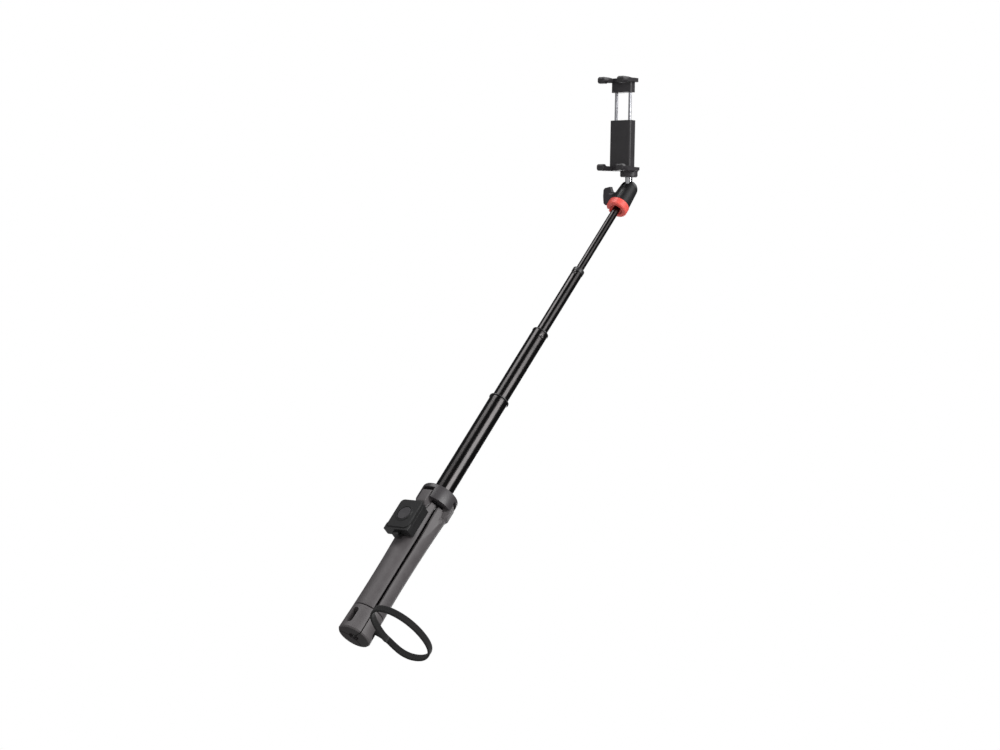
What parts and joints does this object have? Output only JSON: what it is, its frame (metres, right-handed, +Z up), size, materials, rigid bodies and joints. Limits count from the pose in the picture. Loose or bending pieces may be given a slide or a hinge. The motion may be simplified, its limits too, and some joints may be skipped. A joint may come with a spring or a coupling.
{
  "type": "selfie stick",
  "caption": "Telescopic selfie stick: a grip of folding tripod legs with a docked remote and wrist strap, a slim pole, and a leaning ball head with a sprung phone clamp.",
  "frame": {"origin": "centre of the closed feet on the pole's axis, in the plane of the soles", "axes": "+Z up the pole, -Y the way the phone's screen looks, +X to the right of a person who faces the screen's back; the knob is at -X"},
  "size_m": [0.1079, 0.1174, 0.6023],
  "materials": {
    "collar": "satin moulded",
    "guide": "matte",
    "pin": "turned",
    "leg": "fine grained",
    "webbing": "woven",
    "dock": "matte moulded",
    "remote_case": "matte moulded",
    "board": "lacquered",
    "cell": "plain",
    "button": "soft",
    "tube": "gloss black anodised",
    "tube_rim": "moulded",
    "stud": "turned",
    "ring": "satin moulded",
    "housing": "satin moulded",
    "knob": "matte moulded",
    "ball": "polished",
    "disc": "satin moulded",
    "jaw": "satin moulded",
    "pad": "soft",
    "spring": "blued"
  },
  "bodies": {
    "handle": {"collar": "collar", "hub_sleeve": "guide", "hinge_pin_1": "pin", "hinge_pin_2": "pin", "hinge_pin_3": "pin"},
    "leg_1": {"leg_1": "leg", "foot_1": "leg", "remote_dock": "dock"},
    "leg_2": {"leg_2": "leg", "foot_2": "leg", "strap_pin": "pin", "wrist_strap": "webbing"},
    "leg_3": {"leg_3": "leg", "foot_3": "leg"},
    "remote": {"remote_base": "remote_case", "remote_board": "board", "remote_battery": "cell", "remote_cover": "remote_case"},
    "button": {"remote_button": "button"},
    "tube_1": {"tube_1": "tube", "tube_1_lip": "tube_rim", "tube_1_stop": "guide"},
    "tube_2": {"tube_2": "tube", "tube_2_lip": "tube_rim", "tube_2_stop": "guide"},
    "tube_3": {"tube_3": "tube", "tube_3_lip": "tube_rim", "tube_3_stop": "guide"},
    "tube_4": {"tube_4": "tube", "tube_4_stop": "guide", "head_stud": "stud"},
    "head": {"base_ring": "ring", "ball_housing": "housing"},
    "brake": {"brake_cup": "housing"},
    "knob": {"lock_screw": "stud", "lock_knob": "knob"},
    "ball": {"ball_stem": "ball"},
    "clamp": {"stem_disc": "disc", "lower_jaw": "jaw", "lower_pad_1": "pad", "lower_pad_2": "pad", "clamp_body": "jaw", "clamp_cover": "jaw", "clamp_spring": "spring"},
    "upper_jaw": {"upper_jaw": "jaw", "upper_pad_1": "pad", "upper_pad_2": "pad", "jaw_rail_1": "stud", "jaw_rail_2": "stud"}
  },
  "joints": [
    {"name": "leg_1_fold", "type": "hinge", "parent": "handle", "child": "leg_1", "pos_m": [0, -0.0129, 0.1436], "axis": [-1, 0, 0], "range_deg": [0, 50]},
    {"name": "leg_2_fold", "type": "hinge", "parent": "handle", "child": "leg_2", "pos_m": [0.01117, 0.00645, 0.1436], "axis": [0.5, -0.866, 0], "range_deg": [0, 50]},
    {"name": "leg_3_fold", "type": "hinge", "parent": "handle", "child": "leg_3", "pos_m": [-0.01117, 0.00645, 0.1436], "axis": [0.5, 0.866, 0], "range_deg": [0, 50]},
    {"name": "remote_release", "type": "slide", "parent": "leg_1", "child": "remote", "axis": [0, -1, 0], "range_m": [0, 0.012]},
    {"name": "button_press", "type": "slide", "parent": "remote", "child": "button", "axis": [0, 1, 0], "range_m": [0, 0.0008], "stiffness_N_per_m": 500},
    {"name": "tube_1_slide", "type": "slide", "parent": "handle", "child": "tube_1", "axis": [0, 0, 1], "range_m": [-0.1085, 0]},
    {"name": "tube_2_slide", "type": "slide", "parent": "tube_1", "child": "tube_2", "axis": [0, 0, 1], "range_m": [-0.08, 0]},
    {"name": "tube_3_slide", "type": "slide", "parent": "tube_2", "child": "tube_3", "axis": [0, 0, 1], "range_m": [-0.074, 0]},
    {"name": "tube_4_slide", "type": "slide", "parent": "tube_3", "child": "tube_4", "axis": [0, 0, 1], "range_m": [-0.0785, 0]},
    {"name": "head_turn", "type": "hinge", "parent": "tube_4", "child": "head", "pos_m": [0, 0, 0.503], "axis": [0, 0, 1], "continuous": true},
    {"name": "lock_turn", "type": "hinge", "parent": "head", "child": "knob", "pos_m": [-0.015, 0, 0.5214], "axis": [-1, 0, 0], "range_deg": [0, 180]},
    {"name": "brake_lift", "type": "slide", "parent": "head", "child": "brake", "axis": [0, 0, 1], "range_m": [-0.00039, 0]},
    {"name": "ball_lean", "type": "hinge", "parent": "head", "child": "ball", "pos_m": [0, 0, 0.5303], "axis": [1, 0, 0], "range_deg": [-43, 47]},
    {"name": "clamp_turn", "type": "hinge", "parent": "ball", "child": "clamp", "pos_m": [0, -0.00955, 0.54054], "axis": [0, -0.682, 0.7314], "continuous": true},
    {"name": "jaw_slide", "type": "slide", "parent": "clamp", "child": "upper_jaw", "axis": [0, -0.682, 0.7314], "range_m": [-0.018, 0.012]}
  ],
  "couplings": [
    {"joint": "lock_turn", "follows": "brake_lift", "rad_per_m": -8000}
  ]
}
